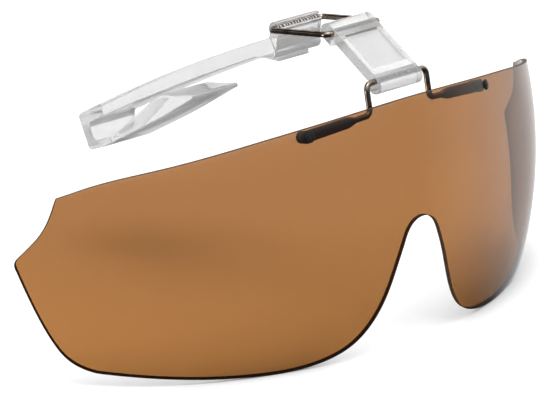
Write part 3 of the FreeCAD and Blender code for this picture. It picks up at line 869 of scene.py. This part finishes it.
def build_lens_bail():
    """The right half from the blade's round end to the middle of the bar, and its mirror image."""
    point, normal = rivet_place(1)
    normal = normal.normalized()
    depth = LENS_THICK + SPACER_THICK + BLADE_THICK / 2 + 0.02
    pad = point - normal * depth - hinge_three
    corner = Vector((LEG_HALF, -1.2, -6.0))
    pad_reach = 1.6
    blade_reach = 8.9
    neck_reach = 2.6
    taper = 0.05
    toward = corner - pad
    along = (toward - normal * toward.dot(normal)).normalized()
    first = pad + along * pad_reach
    run = (corner - first).normalized()
    flat_end = first + run * blade_reach
    neck_end = flat_end + run * neck_reach
    lean = (normal - run * normal.dot(run)).normalized()
    half = BLADE_WIDTH / 2
    # from the blade's round end back to the middle of the bar: place, heading, width, thickness and up
    stations = []
    for t in np.linspace(0, 1, 12):
        s = -half * math.cos(t * math.pi / 2) * 0.998
        stations.append((pad + along * s, along, 2 * math.sqrt(half ** 2 - s ** 2), BLADE_THICK, normal))
    for t in np.linspace(0.1, 1, 8):
        stations.append((pad.lerp(first, t), along, BLADE_WIDTH, BLADE_THICK, normal))
    for t in np.linspace(0.05, 1, 18):
        heading = along.lerp(run, min(1.0, t * 4)).normalized()
        up = normal.lerp(lean, min(1.0, t * 4))
        narrow = BLADE_WIDTH * (1 - taper * t)
        stations.append((first.lerp(flat_end, t), heading, narrow, BLADE_THICK, up))
    for t in np.linspace(0.08, 1, 14):
        ease = t * t * (3 - 2 * t)
        width = BLADE_WIDTH * (1 - taper) * (1 - ease) + 2 * WIRE * ease
        thick = BLADE_THICK * (1 - ease) + 2 * WIRE * ease
        stations.append((flat_end.lerp(neck_end, t), run, width, thick, lean))
    path = rounded_path([neck_end, corner, Vector((LEG_HALF, 0, 0)), Vector((0, 0, 0))], LEG_BEND, False,
                        RING_STEP)
    up = lean
    for place, heading in path[1:]:
        up = (up - heading * up.dot(heading)).normalized()
        stations.append((place, heading, 2 * WIRE, 2 * WIRE, up))
    rings = []
    for place, heading, width, thick, up in stations:
        up = (up - heading * up.dot(heading)).normalized()
        across = heading.cross(up)
        flatness = 1 - min(1.0, thick / width)
        power = 2.0 / (2.0 + 2.6 * flatness)
        on_bar = abs(heading.x) > 0.999 and abs(place.y) < 0.01
        ring = []
        for j in range(WIRE_SIDES):
            angle = 2 * math.pi * (j + 0.5) / WIRE_SIDES
            c = math.cos(angle)
            s = math.sin(angle)
            grow = 1 + (knurl(place.x, angle) / WIRE if on_bar else 0.0)
            ring.append(place + across * math.copysign(abs(c) ** power, c) * width / 2 * grow
                        + up * math.copysign(abs(s) ** power, s) * thick / 2 * grow)
        rings.append(ring)
    rings[-1] = [Vector((0, v.y, v.z)) for v in rings[-1]]
    whole = rings + [[Vector((-v.x, v.y, v.z)) for v in ring] for ring in reversed(rings[:-1])]
    piece = loft("lens_bail_wire", whole, Matrix.Translation(hinge_three))
    for side in (-1, 1):
        combine(piece, drill(-6.0, 1.0, rivet_seat(side)), "DIFFERENCE")
    mark_bars(piece, Matrix.Translation(hinge_three), (0.0,))
    return finish_piece(piece, "lens", [wire, knurled], ["lens_bail"], sharp=60.0)


# ---------------------------------------------------------------------------- rivets and spacers

def build_rivet(side, word):
    """A domed head in front, a shank, and a rounded tail behind the paddle."""
    grip = LENS_THICK + SPACER_THICK + BLADE_THICK + 0.08
    head = 1.1
    rise = 0.35
    dome = (head ** 2 + (rise - 0.1) ** 2) / (2 * (rise - 0.1))
    reach = math.asin(head / dome)
    tail = 1.25
    round_off = 0.5
    shank = 0.7
    end = grip + 1.3
    profile = [(0.02, -end)]
    profile += [(tail - round_off + round_off * math.sin(a), -end + round_off - round_off * math.cos(a))
                for a in np.linspace(0, math.pi / 2, 7)]
    profile += [(tail, -grip - 0.06), (tail - 0.06, -grip), (shank, -grip), (shank, 0.02),
                (head - 0.05, 0.02), (head, 0.05)]
    profile += [(dome * math.sin(a), rise - dome + dome * math.cos(a))
                for a in np.linspace(reach, reach * 0.01, 9)]
    rings = [[(r * math.cos(a), r * math.sin(a), z) for a in all_round(TURNED_SIDES)]
             for r, z in profile]
    piece = loft("rivet_%s_turned" % word, rings, rivet_seat(side))
    return finish_piece(piece, "lens", [black], ["rivet_%s" % word], sharp=50.0)


def build_spacer(side, word):
    """A washer between the lens and the paddle, with eased outer rims."""
    low = -(LENS_THICK + SPACER_THICK + 0.015)
    high = low + SPACER_THICK
    soft = 0.1
    ease = 0.03
    outer = 1.3
    inner = RIVET_HOLE
    section = [(inner, low), (outer - soft, low), (outer - ease, low + ease), (outer, low + soft),
               (outer, high - soft), (outer - ease, high - ease), (outer - soft, high), (inner, high)]
    rings = [[(r * math.cos(a), r * math.sin(a), z) for r, z in section]
             for a in all_round(TURNED_SIDES)]
    piece = loft("spacer_%s_ring" % word, rings, rivet_seat(side), closed=True)
    return finish_piece(piece, "lens", [dark], ["spacer_%s" % word], sharp=40.0)


build_clip()
build_link()
build_front_bail()
build_lens()
build_lens_bail()
for side, word in ((-1, "left"), (1, "right")):
    build_rivet(side, word)
    build_spacer(side, word)


# ------------------------------------------------------------------------- floor, light and camera

# grey levels of the surround from straight down (0) to straight up (1): in front, as the lens and the
# wires reflect it, and behind, as the clear mouldings show it
IN_FRONT = [(0.0, 0.04), (0.36, 0.05), (0.52, 0.08), (0.62, 0.36), (0.72, 0.76), (0.85, 1.2),
            (1.0, 1.5)]
BEHIND = [(0.0, 0.04), (0.255, 0.08), (0.325, 0.72), (0.40, 0.95), (0.56, 0.95), (0.70, 1.1),
          (1.0, 1.5)]


def build_floor():
    """Pale paper, which mirror-like faces don't see."""
    half = 3000.0
    mesh = bpy.data.meshes.new("floor")
    steps = 8
    grid = np.linspace(-half, half, steps + 1)
    mesh.from_pydata([(x * MM, y * MM, FLOOR * MM) for y in grid for x in grid], [],
                     [(j * (steps + 1) + i, j * (steps + 1) + i + 1, (j + 1) * (steps + 1) + i + 1,
                       (j + 1) * (steps + 1) + i) for j in range(steps) for i in range(steps)])
    floor = bpy.data.objects.new("floor", mesh)
    bpy.context.scene.collection.objects.link(floor)
    p = material("floor_paper")
    fibre = p.noise(500.0, 3.0)
    colour = p.blend(fibre, grey(0.90), grey(0.94))
    mesh.materials.append(p.end(p.node("BsdfPrincipled", Base_Color=colour, Roughness=0.9,
                                       Specular_IOR_Level=0.1).outputs[0]))
    floor.visible_glossy = False


def build_world():
    """Studio surround: dark low down and bright overhead in front, bright from below the horizon up
    behind, with two cards."""
    p = Paint(bpy.data.worlds.new("studio"))
    where = p.node("TexCoord").outputs["Generated"]
    height = p.node("SeparateXYZ", Vector=where).outputs[2]

    def levels(stops):
        made = p.node("ValToRGB", Fac=p.ramp(height, -1.0, 1.0))
        points = made.color_ramp.elements
        points[0].position, points[1].position = stops[0][0], stops[-1][0]
        points[0].color, points[1].color = grey(stops[0][1]), grey(stops[-1][1])
        for place, level in stops[1:-1]:
            points.new(place).color = grey(level)
        return made.outputs[0]

    def towards(direction):
        """How nearly a ray goes in the direction given, up to 1."""
        return p.combine("DOT_PRODUCT", where, direction, "VectorMath").outputs["Value"]

    # what the clear mouldings bend into view is bright all round
    bent = p.node("LightPath").outputs["Is Transmission Ray"]
    side = p.combine("MAXIMUM", p.ramp(towards((0.72, 0.69, 0.0)), 0.0, 0.6), bent).outputs[0]
    total = p.blend(side, levels(IN_FRONT), levels(BEHIND))
    # a bright card low on the left and a black one high behind, which give the wires their contrast
    for direction, edge, core, level in (((-0.905, 0.302, -0.302), 0.945, 0.980, 5.0),
                                         ((-0.252, 0.665, 0.705), 0.87, 0.94, -1.3)):
        card = p.ramp(towards(direction), edge, core, 0.0, level)
        total = p.combine("ADD", total, card, "VectorMath").outputs[0]
    total = p.combine("MAXIMUM", total, (0.0, 0.0, 0.0), "VectorMath").outputs[0]
    background = p.node("Background", Color=total, Strength=1.13)
    bpy.context.scene.world = p.end(background.outputs[0], "OutputWorld")


def area_light(name, place, size, watts, aim):
    """A soft lamp of so many metres across, turned to face a point."""
    light = bpy.data.lights.new(name, "AREA")
    light.shape = "RECTANGLE"
    light.size, light.size_y = size
    light.energy = watts
    lamp = bpy.data.objects.new(name, light)
    lamp.location = Vector(place)
    lamp.rotation_euler = (Vector(aim) - Vector(place)).to_track_quat("-Z", "Y").to_euler()
    bpy.context.scene.collection.objects.link(lamp)


def build_camera():
    """Long lens, looking down over the object's left front corner."""
    forward = Vector(LOOK).normalized()
    right = forward.cross(Vector((0, 0, 1))).normalized()
    up = right.cross(forward)
    data = bpy.data.cameras.new("camera")
    data.sensor_width = 36.0
    data.lens = FOCAL_LENGTH
    data.clip_start = 0.01
    data.clip_end = 50.0
    camera = bpy.data.objects.new("camera", data)
    turn = Matrix((right, up, -forward)).transposed().to_4x4()
    camera.matrix_world = Matrix.Translation(Vector(CAMERA) * MM) @ turn
    bpy.context.scene.collection.objects.link(camera)
    bpy.context.scene.camera = camera


build_floor()
build_world()
area_light("softbox", place=(-0.20, -0.22, 0.80), size=(0.6, 0.6), watts=4.3, aim=(0, -0.05, 0))
build_camera()
bpy.context.scene.view_settings.view_transform = "Standard"
